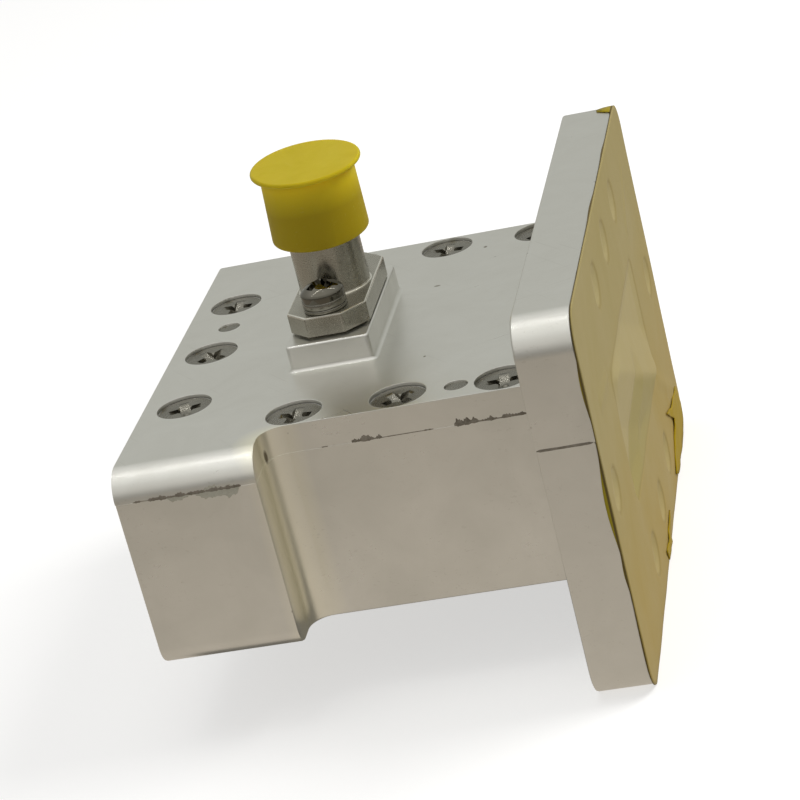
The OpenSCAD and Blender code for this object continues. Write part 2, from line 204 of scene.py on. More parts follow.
# Folds of the film where it hangs free over the guide, and creases of the rest: start, end, half width
# and height
FILM_RIDGES = [((-14.2, 6.3), (14.2, -6.3), 4.6, 0.8), ((0.0, -0.4), (-13.6, -5.9), 2.6, -0.45)]
FILM_CREASES = [((-16.4, 6.7), (-22.0, 7.0), 1.0, 0.12), ((14.7, -6.9), (23.5, -12.0), 1.0, 0.1),
                ((16.0, 8.0), (22.0, 12.5), 0.9, 0.08)]
# Tones of the film: painted light where it hangs free, painted shade round its openings and under its folds,
# and its tones at the flange's edge and on the lip
FILM_LOOSE_PAINTED_LIGHT = (0.54, 0.46, 0.24, 1.0)
FILM_RING_PAINTED_SHADE = (0.30, 0.22, 0.07, 1.0)
FILM_FOLD_PAINTED_SHADE = (0.36, 0.30, 0.10, 1.0)
FILM_EDGE_TONE = (0.14, 0.10, 0.03, 1.0)
FILM_LIP_TONE = (0.38, 0.295, 0.02, 1.0)
# How much of its clouds, of the painted light and of the two painted shades shows, and where the painted
# rings of shade start and end
FILM_CLOUD_SHARE, FILM_LOOSE_SHARE, FILM_RING_SHARE, FILM_FOLD_SHADE_SHARE = 0.35, 0.45, 0.5, 0.7
FILM_RING_START, FILM_RING_END = (0.0, 0.3), (0.8, 0.4)
FILM_EDGE_FROM, FILM_EDGE_FULL = 0.02, 0.08
FILM_LIP_FROM, FILM_LIP_FULL = 0.2, 0.28
FILM_TINT_HIGH, FILM_TINT_LOW = 8.0, -14.0
FILM_ROUGH = (0.5, 0.38)
FILM_COVER = (0.98, 0.94)
FOLD_SHADE_RUN = 0.8
# Film folded back on itself at the lower edge, as corners on the flange face
FAR_FOLD = [(26.0, -12.7), (19.0, -11.9), (15.1, -10.8), (19.3, -13.2), (19.0, -13.7), (15.7, -14.8),
            (12.7, -16.1), (14.6, -16.95), (20.9, -17.0), (25.3, -16.8), (27.4, -15.2)]
LOW_FOLD = [(2.9, -15.1), (-0.2, -15.4), (-1.6, -15.9), (-4.5, -15.7), (-3.6, -16.9), (0.2, -17.0),
            (0.4, -16.2)]
FOLD_STAND = 0.13
FOLD_LIFT, FOLD_LIFT_SEED, FOLD_LIFT_Y, FOLD_LIFT_Z = 0.16, 0.4, 3.0, 2.0
FOLD_CUTS = 5

# Filler along the seam of the near side: its grid, how proud it stands, its ends, its teeth and its drift
SEAM_STEP = 0.06
SEAM_CUTS = 3
SEAM_PROUD = 0.045
SEAM_END_RUN, SEAM_END_SHARE = 0.3, 0.3
SEAM_CROWN = 3.6
SEAM_TEETH_LEVELS, SEAM_FINE_TEETH, SEAM_FINE_SHARE = 3, 4, 0.5
SEAM_LEAST, SEAM_USUAL = 0.25, 0.75
SEAM_DRIFT, SEAM_DRIFT_RATE = 0.1, 0.8
# Starts of the filler's random forms: the step from stretch to stretch and the layer
SEAM_COARSE_SEED, SEAM_FINE_SEED, SEAM_DRIFT_SEED = (3.7, 0.3), (2.3, 7.7), (1.9, 5.1)
# Near faces of the neck, the block and the flange, and the flange's back
NECK_Y, BLOCK_Y, FLANGE_Y = -20.0, -25.2, -28.0
FLANGE_BACK_X = -4.9
# Stretches and smears of the filler: from and to along X, the face it lies on, its height at both ends, its
# teeth for each millimetre and the share of it that hangs below the seam
SEAM_STRETCHES = [(-39.4, -35.6, BLOCK_Y, 0.2, 0.42, 1.3, 0.4), (-35.9, -32.6, BLOCK_Y, 0.45, 0.4, 1.4, 0.4),
                  (-32.9, -30.0, BLOCK_Y, 0.42, 0.3, 1.6, 0.4), (-23.9, -23.4, NECK_Y, 0.22, 0.22, 1.0, 0.4),
                  (-21.3, -18.7, NECK_Y, 0.58, 0.34, 1.7, 0.2), (-18.8, -15.1, NECK_Y, 0.13, 0.12, 0.5, 0.4),
                  (-15.3, -14.3, NECK_Y, 0.26, 0.2, 1.0, 0.3), (-12.5, -9.0, NECK_Y, 0.6, 0.4, 1.6, 0.2),
                  (-9.2, -6.3, NECK_Y, 0.38, 0.24, 1.9, 0.2), (-4.83, -0.23, FLANGE_Y, 0.3, 0.24, 0.3, 0.5)]
SEAM_SMEARS = [(-36.5, -30.2, BLOCK_Y, 0.5, 0.9, 0.6, 1.0), (-33.4, -30.6, BLOCK_Y, 0.5, 0.4, 0.9, 0.1)]


def flat_grid(across, along, step):
    """A grid of quads that covers two lengths in the XY plane about the origin."""
    bm = bmesh.new()
    columns, rows = (max(1, round(length / step)) for length in (across, along))
    bmesh.ops.create_grid(bm, x_segments=columns, y_segments=rows, size=0.5)
    bmesh.ops.scale(bm, vec=(across, along, 1), verts=bm.verts)
    return bm


def finished_piece(name, bm, material, replaced=()):
    """Makes a piece from a bmesh in millimetres: its finish, its place and the nodes it stands for."""
    bmesh.ops.scale(bm, vec=(MM, MM, MM), verts=bm.verts)
    for face in bm.faces:
        face.smooth = True
    mesh = bpy.data.meshes.new(name)
    bm.to_mesh(mesh)
    bm.free()
    if "custom_normal" in mesh.attributes:
        mesh.attributes.remove(mesh.attributes["custom_normal"])
    mesh.materials.clear()
    mesh.materials.append(material)
    piece = bpy.data.objects.new(name, mesh)
    bpy.context.scene.collection.objects.link(piece)
    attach(piece, "root")
    if replaced:
        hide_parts(*replaced)
    return piece


def merged_copy(node):
    """The CAD node's shape in millimetres as one skin, with flat faces in one piece."""
    bm = bmesh.new()
    bm.from_mesh(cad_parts[node].data)
    bm.transform(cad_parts[node].matrix_world)
    bmesh.ops.scale(bm, vec=(1 / MM, 1 / MM, 1 / MM), verts=bm.verts)
    bmesh.ops.remove_doubles(bm, verts=bm.verts, dist=WELD_DISTANCE)
    bmesh.ops.dissolve_limit(bm, angle_limit=math.radians(FLAT_ANGLE), verts=bm.verts, edges=bm.edges)
    return bm


def break_sharp(bm, width, segments, wanted, clamp=True):
    """Breaks those sharp edges of a bmesh that are wanted, and gives the new faces."""
    sharp = [edge for edge in bm.edges
             if edge.is_manifold and edge.calc_face_angle() > math.radians(SHARP_ANGLE) and wanted(edge)]
    return bmesh.ops.bevel(bm, geom=sharp, offset=width, offset_type="OFFSET", segments=segments, profile=0.5,
                           affect="EDGES", clamp_overlap=clamp, material=-1)["faces"]


def upright_holes():
    """Where the holes of the fasteners and of the contact stand, with the reach of what sits in each."""
    holes = []
    for node in ("lid_screws", "dowel_pins", "jack_screws", "jack_insulator"):
        bm = merged_copy(node)
        left = set(bm.verts)
        while left:
            island = [left.pop()]
            for vert in island:
                joined = {edge.other_vert(vert) for edge in vert.link_edges} & left
                left -= joined
                island.extend(joined)
            xs, ys = [vert.co.x for vert in island], [vert.co.y for vert in island]
            middle = Vector(((min(xs) + max(xs)) / 2, (min(ys) + max(ys)) / 2))
            holes.append((middle, (max(xs) - min(xs)) / 2 + HOLE_ZONE))
        bm.free()
    return holes


def at_hole(edge, holes):
    """Whether an edge belongs to an upright hole, to a bolt hole of the flange or to the guide's mouth."""
    places = [vert.co for vert in edge.verts]
    upright = any(all((place.xy - middle).length < reach for place in places) for middle, reach in holes)
    bolt = all(inside_bolt_hole(*place.yz) > -HOLE_ZONE and place.x > FLANGE_BACK_X - WELD_DISTANCE
               for place in places)
    return upright or bolt or all(inside_guide(*place.yz) > -HOLE_ZONE for place in places)


def level(edge, height):
    """Whether an edge lies level at a height."""
    return all(abs(vert.co.z - height) < WELD_DISTANCE for vert in edge.verts)


def broken_screws(bm):
    """Breaks the rims at the top of the lid's screws."""
    top_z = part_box("lid_screws")[1].z / MM
    holes = upright_holes()

    def rim(edge):
        inner = any((vert.co.xy - middle).length < reach - 2 * HOLE_ZONE
                    for vert in edge.verts for middle, reach in holes)
        return level(edge, top_z) and not inner

    break_sharp(bm, SCREW_EDGE, EDGE_STEPS, rim, clamp=False)


def broken_block(bm, node):
    """Breaks a half's edges: the outer ones widely, the lid's thin places less and the seam hardly."""
    seam_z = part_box("upper_half")[0].z / MM
    holes = upright_holes()

    def outer(edge):
        return not level(edge, seam_z) and not at_hole(edge, holes)

    def wide(edge):
        high = all(vert.co.z > LID_TOP_Z + WELD_DISTANCE for vert in edge.verts)
        return outer(edge) and (high or node == "lower_half")

    def rim(edge):
        return level(edge, LID_TOP_Z) and at_hole(edge, holes)

    def seam(edge):
        return level(edge, seam_z)

    break_sharp(bm, BLOCK_EDGE, EDGE_STEPS, wide, clamp=False)
    if node == "upper_half":
        break_sharp(bm, LID_EDGE, EDGE_STEPS, outer, clamp=False)
    break_sharp(bm, HOLE_EDGE, EDGE_STEPS, rim, clamp=False)
    break_sharp(bm, SEAM_EDGE, CHAMFER_STEPS, seam)


def broken_jack(bm):
    """Breaks the jack's edges, with a wide chamfer at its flange's foot, and marks its upward-facing edges
    for a painted highlight.
    """
    foot_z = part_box("jack_body")[0].z / MM
    holes = upright_holes()

    def foot(edge):
        return all(vert.co.z < foot_z + WELD_DISTANCE for vert in edge.verts) and not at_hole(edge, holes)

    def above(edge):
        return any(vert.co.z > foot_z + JACK_FOOT_EDGE + WELD_DISTANCE for vert in edge.verts)

    upper_edge_highlight = bm.faces.layers.float.new("upper_edge_highlight")
    break_sharp(bm, JACK_FOOT_EDGE, CHAMFER_STEPS, foot, clamp=False)
    broken = break_sharp(bm, JACK_EDGE, EDGE_STEPS, above, clamp=False)
    bm.normal_update()
    # Broken edges that face up get a painted highlight.
    for face in broken:
        face[upper_edge_highlight] = 1.0 if face.normal.z > HIGHLIT_EDGE_RISE else 0.0


def any_edge(edge):
    """Takes every edge."""
    return True


def broken_edges(name, node, width, material, segments=EDGE_STEPS):
    """A copy of a CAD node whose sharp edges are broken, so that they catch the light as real ones do.

    A width of 0 keeps the edges as they are.
    """
    bm = merged_copy(node)
    if node in ("lower_half", "upper_half"):
        broken_block(bm, node)
    elif node == "jack_body":
        broken_jack(bm)
    elif node == "lid_screws":
        broken_screws(bm)
    elif width:
        break_sharp(bm, width, segments, any_edge)
    for edge in bm.edges:
        edge.smooth = not edge.is_manifold or edge.calc_face_angle() < math.radians(SHARP_ANGLE)
    piece = finished_piece(name, bm, material, [node])
    if width:
        even = piece.modifiers.new("even_faces", "WEIGHTED_NORMAL")
        even.keep_sharp = True


# Shader helpers


def put(tree, kind, settings=(), **sockets):
    """Adds a node, sets its properties and fills its sockets with values or links."""
    made = tree.nodes.new(kind)
    for name, value in dict(settings).items():
        setattr(made, name, value)
    for name, value in sockets.items():
        key = int(name[1:]) if name[0] == "_" else name.replace("_", " ")
        if isinstance(value, bpy.types.NodeSocket):
            tree.links.new(value, made.inputs[key])
        else:
            made.inputs[key].default_value = value
    return made


def sum_up(tree, operation, first, second=0.0):
    """One Math node's result."""
    return put(tree, "ShaderNodeMath", {"operation": operation}, _0=first, _1=second).outputs[0]


def blend_colours(tree, factor, first, second):
    """Two colours mixed by a factor."""
    return put(tree, "ShaderNodeMix", {"data_type": "RGBA"}, _0=factor, _6=first, _7=second).outputs[2]


def tinted(tree, colour, mask, share, tone):
    """A colour with a share of a tone laid over it where a mask shows."""
    return blend_colours(tree, sum_up(tree, "MULTIPLY", mask, share), colour, tone)


def spread(tree, value, low, high, to_low=0.0, to_high=1.0):
    """A value's stretch from low to high, brought to another stretch and held within it."""
    made = put(tree, "ShaderNodeMapRange", {"clamp": True}, Value=value, From_Min=low, From_Max=high,
               To_Min=to_low, To_Max=to_high)
    return made.outputs[0]


def clouds(tree, place, scale, detail=3.0, rough=0.55, distortion=0.0):
    """Noise from 0 to 1, with scale in features for each millimetre."""
    made = put(tree, "ShaderNodeTexNoise", Vector=place, Scale=scale, Detail=detail, Roughness=rough,
               Distortion=distortion)
    return made.outputs["Fac"]


def stretched(tree, place, scale, turn=(0, 0, 0)):
    """A place turned by degrees and then stretched."""
    made = put(tree, "ShaderNodeMapping", {"vector_type": "TEXTURE"}, Vector=place,
               Rotation=[math.radians(angle) for angle in turn], Scale=[1 / part for part in scale])
    return made.outputs[0]


def in_millimetres(tree):
    """The surface's own place in the frame, in millimetres."""
    place = put(tree, "ShaderNodeTexCoord").outputs["Object"]
    return put(tree, "ShaderNodeVectorMath", {"operation": "SCALE"}, _0=place, Scale=1 / MM).outputs[0]


def new_group(name, inputs, outputs):
    """An empty shader node group with named sockets."""
    group = bpy.data.node_groups.new(name, "ShaderNodeTree")
    for socket, kind, value in inputs:
        made = group.interface.new_socket(socket, in_out="INPUT", socket_type=kind)
        if value is not None:
            made.default_value = value
    for socket in outputs:
        group.interface.new_socket(socket, in_out="OUTPUT", socket_type="NodeSocketFloat")
    return group, group.nodes.new("NodeGroupInput"), group.nodes.new("NodeGroupOutput")


def group_node(tree, group, **sockets):
    """Places a node group in a tree."""
    made = tree.nodes.new("ShaderNodeGroup")
    made.node_tree = group
    for name, value in sockets.items():
        if isinstance(value, bpy.types.NodeSocket):
            tree.links.new(value, made.inputs[name])
        else:
            made.inputs[name].default_value = value
    return made.outputs


def mottle_group():
    """Cloudy tone and fine grain of a handled surface."""
    group, given, out = new_group("surface_mottle", [("Place", "NodeSocketVector", None),
                                                     ("Cloud", "NodeSocketFloat", 0.18),
                                                     ("Grain", "NodeSocketFloat", 9.0)], ["Tone", "Grain"])
    broad = clouds(group, given.outputs["Place"], given.outputs["Cloud"], 4.0, 0.6, 0.4)
    fine = clouds(group, given.outputs["Place"], given.outputs["Grain"], 2.0, 0.6)
    group.links.new(spread(group, broad, 0.3, 0.7), out.inputs["Tone"])
    group.links.new(spread(group, fine, 0.3, 0.7), out.inputs["Grain"])
    return group


def scratch_group():
    """Thin scratches in two directions, broken up by a broad mask."""
    group, given, out = new_group("thin_scratches", [("Place", "NodeSocketVector", None),
                                                     ("Amount", "NodeSocketFloat", 0.5)], ["Mask"])
    lines = []
    for turn, lift in (((0, 0, 24), 0.0), ((0, 0, -52), 3.7)):
        laid = stretched(group, given.outputs["Place"], (0.09, 3.6, 3.6), turn)
        shifted = put(group, "ShaderNodeVectorMath", {"operation": "ADD"}, _0=laid, _1=(lift, lift, lift))
        lines.append(spread(group, clouds(group, shifted.outputs[0], 1.0, 2.0, 0.5), 0.66, 0.72))
    both = sum_up(group, "MAXIMUM", lines[0], lines[1])
    broken = spread(group, clouds(group, given.outputs["Place"], 0.22, 2.0), 0.45, 0.62)
    shown = sum_up(group, "MULTIPLY", both, broken)
    group.links.new(sum_up(group, "MULTIPLY", shown, given.outputs["Amount"]), out.inputs["Mask"])
    return group


def speck_group():
    """Small pits and specks, each with its own size."""
    group, given, out = new_group("small_specks", [("Place", "NodeSocketVector", None),
                                                   ("Spacing", "NodeSocketFloat", 0.4),
                                                   ("Size", "NodeSocketFloat", 0.1)], ["Mask"])
    cell = put(group, "ShaderNodeTexVoronoi", {"feature": "F1"}, Vector=given.outputs["Place"],
               Scale=given.outputs["Spacing"])
    chance = put(group, "ShaderNodeSeparateColor", Color=cell.outputs["Color"]).outputs[0]
    reach = sum_up(group, "MULTIPLY", spread(group, chance, 0.72, 1.0), given.outputs["Size"])
    close = sum_up(group, "SUBTRACT", reach, cell.outputs["Distance"])
    group.links.new(spread(group, close, 0.0, 0.03), out.inputs["Mask"])
    return group


MOTTLE = mottle_group()
SCRATCHES = scratch_group()
SPECKS = speck_group()


def new_material(name, metallic, roughness=0.5):
    """A material with one Principled shader, and the shader's tree."""
    material = bpy.data.materials.new(name)
    material.use_nodes = True
    tree = material.node_tree
    tree.nodes.clear()
    out = tree.nodes.new("ShaderNodeOutputMaterial")
    surface = tree.nodes.new("ShaderNodeBsdfPrincipled")
    surface.inputs["Metallic"].default_value = metallic
    surface.inputs["Roughness"].default_value = roughness
    tree.links.new(surface.outputs[0], out.inputs["Surface"])
    return material, tree, surface


def bumped(tree, surface, height, depth, strength):
    """Feeds a height from 0 to 1 into the shader's normal, with its depth in millimetres."""
    made = put(tree, "ShaderNodeBump", Strength=strength, Distance=depth * MM, Height=height)
    tree.links.new(made.outputs[0], surface.inputs["Normal"])


def milled_aluminium():
    """Fine-milled, passivated aluminium with a satin sheen, faint clouds, scratches, specks and a painted
    sheen in the near fillet.
    """
    material, tree, surface = new_material("milled_aluminium", 1.0)
    place = in_millimetres(tree)
    mottle = group_node(tree, MOTTLE, Place=place, Cloud=0.16, Grain=7.0)
    scratches = group_node(tree, SCRATCHES, Place=place, Amount=0.55)["Mask"]
    specks = group_node(tree, SPECKS, Place=place, Spacing=0.42, Size=0.08)["Mask"]
    colour = blend_colours(tree, mottle["Tone"], ALUMINIUM_DARK, ALUMINIUM_LIGHT)
    # Painted sheen: the near fillet is lighter and warmer, in place of its reflections.
    beside = put(tree, "ShaderNodeVectorMath", {"operation": "MULTIPLY"}, _0=place, _1=(1, 1, 0)).outputs[0]
    beside = put(tree, "ShaderNodeVectorMath", {"operation": "DISTANCE"}, _0=beside, _1=(*FILLET_SHEEN_AT, 0))
    fillet_sheen = spread(tree, beside.outputs["Value"], FILLET_SHEEN_REACH, FILLET_SHEEN_REACH / 2)
    colour = blend_colours(tree, fillet_sheen, colour, PAINTED_FILLET_SHEEN)
    colour = tinted(tree, colour, scratches, ALUMINIUM_SCRATCH_SHARE, ALUMINIUM_SCRATCH)
    colour = tinted(tree, colour, specks, ALUMINIUM_SPECK_SHARE, ALUMINIUM_SPECK)
    for middle, half in METAL_MARKS:
        off = put(tree, "ShaderNodeVectorMath", {"operation": "SUBTRACT"}, _0=place, _1=middle).outputs[0]
        off = put(tree, "ShaderNodeVectorMath", {"operation": "DIVIDE"}, _0=off, _1=half).outputs[0]
        away = put(tree, "ShaderNodeVectorMath", {"operation": "LENGTH"}, _0=off).outputs["Value"]
        colour = blend_colours(tree, spread(tree, away, 1.0, 0.5), colour, MARK_TONE)
    tree.links.new(colour, surface.inputs["Base Color"])
    rough = spread(tree, mottle["Tone"], 0.0, 1.0, *ALUMINIUM_ROUGH)
    rough = sum_up(tree, "SUBTRACT", rough, sum_up(tree, "MULTIPLY", scratches, SCRATCH_SHINE))
    tree.links.new(rough, surface.inputs["Roughness"])
    height = sum_up(tree, "SUBTRACT", sum_up(tree, "MULTIPLY", mottle["Grain"], 0.5), scratches)
    bumped(tree, surface, height, depth=0.006, strength=0.6)
    return material


def turned_steel(name, dark, light, rough, ring_pitch):
    """Turned, passivated steel: faint rings, clouds, scratches, and a painted highlight with less roughness
    on marked upper edges.
    """
    material, tree, surface = new_material(name, 1.0)
    place = in_millimetres(tree)
    mottle = group_node(tree, MOTTLE, Place=place, Cloud=0.35, Grain=11.0)
    scratches = group_node(tree, SCRATCHES, Place=place, Amount=0.6)["Mask"]
    rings = put(tree, "ShaderNodeTexWave", {"wave_type": "BANDS", "bands_direction": "Z"}, Vector=place,
                Scale=math.tau / (WAVE_RATE * ring_pitch)).outputs["Fac"]
    colour = blend_colours(tree, mottle["Tone"], dark, light)
    colour = tinted(tree, colour, scratches, STEEL_SCRATCH_SHARE, STEEL_SCRATCH)
    upper_edge_highlight = put(tree, "ShaderNodeAttribute", {"attribute_name": "upper_edge_highlight"}).outputs["Fac"]
    # Painted highlight on the upper edges that face up.
    colour = blend_colours(tree, upper_edge_highlight, colour, PAINTED_EDGE_HIGHLIGHT)
    tree.links.new(colour, surface.inputs["Base Color"])
    dull = spread(tree, mottle["Grain"], 0.0, 1.0, *rough)
    dull = sum_up(tree, "MULTIPLY", dull, spread(tree, upper_edge_highlight, 0.0, 1.0, 1.0, HIGHLIT_EDGE_ROUGH))
    tree.links.new(dull, surface.inputs["Roughness"])
    bumped(tree, surface, sum_up(tree, "ADD", rings, scratches), depth=0.0006, strength=0.3)
    return material


def waxy_plastic():
    """Soft yellow cap plastic: dull, clouded and marked, with a painted glow just below its rim and painted
    shade lower down, where its thin wall covers the barrel.
    """
    material, tree, surface = new_material("cap_plastic", 0.0)
    surface.inputs["Subsurface Weight"].default_value = 0.5
    surface.inputs["Subsurface Radius"].default_value = CAP_GLOW_SHARES
    surface.inputs["Subsurface Scale"].default_value = CAP_GLOW_DEPTH * MM
    surface.inputs["Specular IOR Level"].default_value = 0.12
    place = in_millimetres(tree)
    mottle = group_node(tree, MOTTLE, Place=place, Cloud=0.3, Grain=8.0)
    scratches = group_node(tree, SCRATCHES, Place=place, Amount=0.8)["Mask"]
    colour = blend_colours(tree, mottle["Tone"], CAP_DARK, CAP_LIGHT)
    height = put(tree, "ShaderNodeSeparateXYZ", Vector=place).outputs["Z"]
    # Painted glow: the wall just below the rim is lighter, as light through the rim would make it.
    below = spread(tree, height, CAP_RIM_Z + CAP_RIM_UP, CAP_RIM_Z - CAP_RIM_DOWN)
    colour = blend_colours(tree, below, colour, CAP_PAINTED_RIM_GLOW)
    # Painted shade: the lower wall is darker, where its thin wall covers the barrel.
    thin = spread(tree, height, CAP_SOLID_Z + CAP_LOW_SHADE_UP, CAP_SOLID_Z - CAP_LOW_SHADE_DOWN)
    colour = blend_colours(tree, thin, colour, CAP_PAINTED_LOW_SHADE)
    colour = tinted(tree, colour, scratches, CAP_SCRATCH_SHARE, CAP_SCRATCH)
    tree.links.new(colour, surface.inputs["Base Color"])
    tree.links.new(spread(tree, mottle["Tone"], 0.0, 1.0, *CAP_ROUGH), surface.inputs["Roughness"])
    bumped(tree, surface, sum_up(tree, "ADD", mottle["Grain"], scratches), depth=0.008, strength=0.5)
    return material


def film_plastic(name, upper, lower, cloud):
    """Thin yellowish film: clouded, barely see-through, darker where it turns over the flange's edge, with
    painted light where it hangs free over the openings and painted shade round them and under its folds.
    """
    material, tree, surface = new_material(name, 0.0)
    surface.inputs["Specular IOR Level"].default_value = 0.1
    place = in_millimetres(tree)
    mottle = group_node(tree, MOTTLE, Place=place, Cloud=0.09, Grain=3.0)
    parts = put(tree, "ShaderNodeSeparateXYZ", Vector=place)
    low = spread(tree, parts.outputs["Z"], FILM_TINT_HIGH, FILM_TINT_LOW)
    colour = blend_colours(tree, low, upper, lower)
    colour = tinted(tree, colour, mottle["Tone"], FILM_CLOUD_SHARE, cloud)
    loose, fold_shade, turned = (put(tree, "ShaderNodeAttribute", {"attribute_name": layer}).outputs["Fac"]
                           for layer in ("loose", "fold_shade", "turned"))
    # Painted light where the film hangs free over the openings.
    colour = tinted(tree, colour, loose, FILM_LOOSE_SHARE, FILM_LOOSE_PAINTED_LIGHT)
    # Painted shade in a ring round each opening.
    ring_shade = sum_up(tree, "MULTIPLY", spread(tree, loose, *FILM_RING_START),
                  spread(tree, loose, *FILM_RING_END))
    colour = tinted(tree, colour, ring_shade, FILM_RING_SHARE, FILM_RING_PAINTED_SHADE)
    # Painted shade where the film hangs deepest past its folds.
    colour = tinted(tree, colour, fold_shade, FILM_FOLD_SHADE_SHARE, FILM_FOLD_PAINTED_SHADE)
    edge = spread(tree, turned, FILM_EDGE_FROM, FILM_EDGE_FULL)
    colour = blend_colours(tree, edge, colour, FILM_EDGE_TONE)
    lip = spread(tree, turned, FILM_LIP_FROM, FILM_LIP_FULL)
    colour = blend_colours(tree, lip, colour, FILM_LIP_TONE)
    tree.links.new(colour, surface.inputs["Base Color"])
    tree.links.new(spread(tree, mottle["Tone"], 0.0, 1.0, *FILM_ROUGH), surface.inputs["Roughness"])
    tree.links.new(spread(tree, mottle["Tone"], 0.0, 1.0, *FILM_COVER), surface.inputs["Alpha"])
    bumped(tree, surface, mottle["Grain"], depth=0.01, strength=0.4)
    return material


def seam_filler(name, dark, light):
    """Dried filler: rough, with lighter crumbs."""
    material, tree, surface = new_material(name, 0.0)
    surface.inputs["Specular IOR Level"].default_value = 0.2
    mottle = group_node(tree, MOTTLE, Place=in_millimetres(tree), Cloud=1.6, Grain=9.0)
    colour = blend_colours(tree, mottle["Tone"], dark, light)
    tree.links.new(colour, surface.inputs["Base Color"])
    tree.links.new(spread(tree, mottle["Grain"], 0.0, 1.0, *FILLER_ROUGH), surface.inputs["Roughness"])
    bumped(tree, surface, mottle["Grain"], depth=0.03, strength=0.8)
    return material


def insulator_plastic():
    """White insulator with a faint cloud."""
    material, tree, surface = new_material("insulator_plastic", 0.0)
    place = in_millimetres(tree)
    mottle = group_node(tree, MOTTLE, Place=place, Cloud=0.5, Grain=12.0)
    colour = blend_colours(tree, mottle["Tone"], INSULATOR_DARK, INSULATOR_LIGHT)
    tree.links.new(colour, surface.inputs["Base Color"])
    tree.links.new(spread(tree, mottle["Grain"], 0.0, 1.0, *INSULATOR_ROUGH), surface.inputs["Roughness"])
    return material


ALUMINIUM = milled_aluminium()
JACK_STEEL = turned_steel("jack_steel", dark=(0.35, 0.335, 0.285, 1), light=(0.42, 0.405, 0.35, 1),
                          rough=(0.23, 0.30), ring_pitch=0.35)
BRIGHT_STEEL = turned_steel("bright_steel", dark=(0.13, 0.123, 0.10, 1), light=(0.17, 0.161, 0.137, 1),
                            rough=(0.04, 0.06), ring_pitch=0.3)
WASHER_STEEL = turned_steel("washer_steel", dark=(0.24, 0.23, 0.195, 1), light=(0.30, 0.29, 0.25, 1),
                            rough=(0.16, 0.24), ring_pitch=0.3)
SCREW_STEEL = turned_steel("screw_steel", dark=(0.19, 0.182, 0.155, 1), light=(0.26, 0.25, 0.215, 1),
                           rough=(0.22, 0.30), ring_pitch=0.25)
CONTACT_GOLD = turned_steel("contact_gold", dark=(0.60, 0.42, 0.15, 1), light=(0.68, 0.49, 0.19, 1),
                            rough=(0.18, 0.28), ring_pitch=0.3)
CAP_PLASTIC = waxy_plastic()
FILM_PLASTIC = film_plastic("film_plastic", upper=(0.40, 0.325, 0.13, 1), lower=(0.44, 0.315, 0.085, 1),
                            cloud=(0.49, 0.40, 0.175, 1))
FOLDED_FILM = film_plastic("folded_film", upper=(0.41, 0.285, 0.01, 1), lower=(0.40, 0.275, 0.008, 1),
                           cloud=(0.48, 0.34, 0.012, 1))
SEAM_FILLER = seam_filler("seam_filler", dark=(0.16, 0.135, 0.10, 1), light=(0.33, 0.29, 0.23, 1))
SEAM_SMEAR = seam_filler("seam_smear", dark=(0.46, 0.43, 0.34, 1), light=(0.55, 0.52, 0.42, 1))
INSULATOR = insulator_plastic()


def bump(place, middle, half_width, height):
    """A smooth rise that starts and ends at nothing."""
    near = max(0.0, 1 - ((place - middle) / half_width) ** 2)
    return height * near * near


def fold_line(y, z, start, end, half_width, height):
    """The rise of a sharp fold along the line between two points of the flange face."""
    along = Vector(end) - Vector(start)
    away = Vector((y, z)) - Vector(start)
    share = min(1.0, max(0.0, away.dot(along) / along.length_squared))
    gap = (away - along * share).length
    return height * max(0.0, 1 - gap / half_width)


def inside_guide(y, z):
    """How far inside the guide's rounded mouth a point of the flange face lies."""
    out_y = abs(y) - GUIDE_HALF_Y + GUIDE_CORNER
    out_z = abs(z) - GUIDE_HALF_Z + GUIDE_CORNER
    return GUIDE_CORNER - math.hypot(max(out_y, 0), max(out_z, 0)) - min(max(out_y, out_z), 0) - FILM_MARGIN


def inside_bolt_hole(y, z):
    """How far inside the nearest bolt hole a point of the flange face lies."""
    return max(BOLT_R - math.hypot(y - bolt_y, z - bolt_z) for bolt_y, bolt_z in BOLT_PLACES) - FILM_MARGIN


def under_folds(y, z):
    """How far under the folds a point of the guide's mouth lies, where the film hangs deepest."""
    (_, fold_end), (crease_start, crease_end) = (ridge[:2] for ridge in FILM_RIDGES)
    depths = []
    for start, end in ((crease_start, crease_end), (fold_end, crease_start)):
        along = (Vector(end) - Vector(start)).normalized()
        depths.append(along.x * (z - start[1]) - along.y * (y - start[0]))
    return min(depths)


def lip_overlap(place, rises):
    """How far the film turns over an edge of the flange at a place along it."""
    return sum(bump(place, *rise) for rise in rises)


def film_stand(y, z):
    """How far the film stands off the flange face at a point of it."""
    wave = noise.noise(Vector((y / FILM_WAVE_PITCH, z / FILM_WAVE_PITCH, FILM_WAVE_SEED)))
    stand = FILM_STAND + FILM_WAVE * wave
    inside = inside_guide(y, z)
    if inside > 0:
        stand -= GUIDE_SAG * min(1.0, inside / GUIDE_SAG_RUN)
        for start, end, half_width, height in FILM_RIDGES:
            stand += fold_line(y, z, start, end, half_width, height) * min(1.0, inside / GUIDE_SAG_RUN)
    for start, end, half_width, height in FILM_CREASES:
        stand += fold_line(y, z, start, end, half_width, height)
    inside = inside_bolt_hole(y, z)
    if inside > 0:
        stand -= BOLT_SAG * min(1.0, inside / BOLT_SAG_RUN)
    return stand


